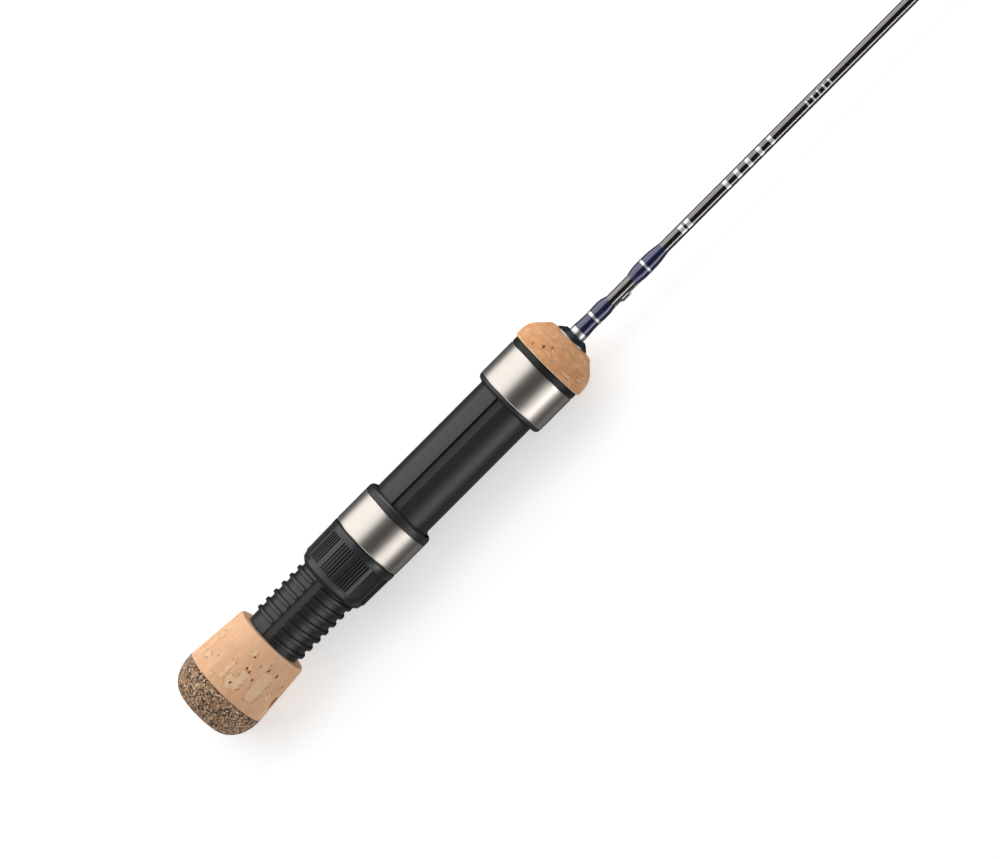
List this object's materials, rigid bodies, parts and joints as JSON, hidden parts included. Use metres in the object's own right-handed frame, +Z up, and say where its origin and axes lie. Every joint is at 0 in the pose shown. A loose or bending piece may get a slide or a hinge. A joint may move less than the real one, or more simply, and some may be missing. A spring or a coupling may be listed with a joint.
{
  "type": "ice fishing rod",
  "caption": "Short ice fishing rod with a cork and threaded-seat handle, a sliding reel hood with its lock nut, single-foot guides and a tip-top.",
  "frame": {"origin": "centre of the butt's flat end face, on the rod's axis", "axes": "+X along the rod to the tip, -Y the side of the guides, hook keeper and reel foot, +Z up with the rod lying on its side"},
  "size_m": [0.6096, 0.0413, 0.0274],
  "materials": {
    "cork": "sanded natural cork with dark pits",
    "burl_cork": "sanded burl composite cork, dark and tan granules",
    "seat_plastic": "satin moulded graphite-filled plastic",
    "arbor_foam": "rigid foam",
    "stainless": "circumferentially brushed stainless steel",
    "polished_rim": "polished",
    "check_plastic": "satin",
    "graphite_blank": "clear-coated graphite with fine flake",
    "navy_thread": "wound thread under clear epoxy",
    "silver_thread": "metallic thread under clear epoxy",
    "guide_steel": "polished stainless wire and strip",
    "ring_insert": "polished ring insert"
  },
  "bodies": {
    "rod": {"butt_cap": "burl_cork", "cork_butt": "cork", "fore_grip": "cork", "reel_seat_body": "seat_plastic", "trim_ring": "seat_plastic", "seat_arbor_rear": "arbor_foam", "seat_arbor_middle": "arbor_foam", "seat_arbor_front": "arbor_foam", "fixed_hood_sleeve": "stainless", "winding_check_rim": "polished_rim", "winding_check": "check_plastic", "blank": "graphite_blank", "hook_keeper": "guide_steel", "keeper_wrap_rear": "navy_thread", "keeper_wrap_front": "navy_thread", "keeper_band_base": "silver_thread", "keeper_band_rear": "silver_thread", "keeper_band_front": "silver_thread", "tip_wrap": "navy_thread", "tip_tube": "guide_steel", "tip_frame": "guide_steel", "tip_ring": "ring_insert", "guide_1_frame": "guide_steel", "guide_1_ring": "ring_insert", "guide_1_wrap": "navy_thread", "guide_2_frame": "guide_steel", "guide_2_ring": "ring_insert", "guide_2_wrap": "navy_thread", "guide_3_frame": "guide_steel", "guide_3_ring": "ring_insert", "guide_3_wrap": "navy_thread"},
    "sliding_hood": {"sliding_hood": "seat_plastic", "sliding_hood_sleeve": "stainless"},
    "lock_nut": {"lock_nut": "seat_plastic"}
  },
  "joints": [
    {"name": "hood_slide", "type": "slide", "parent": "rod", "child": "sliding_hood", "axis": [1, 0, 0], "range_m": [-0.0209, 0.0081]},
    {"name": "nut_turn", "type": "hinge", "parent": "sliding_hood", "child": "lock_nut", "pos_m": [0.06, 0, 0], "axis": [1, 0, 0], "range_deg": [-2340, 900]}
  ],
  "couplings": [
    {"joint": "hood_slide", "follows": "nut_turn", "m_per_rad": 0.0005093}
  ]
}
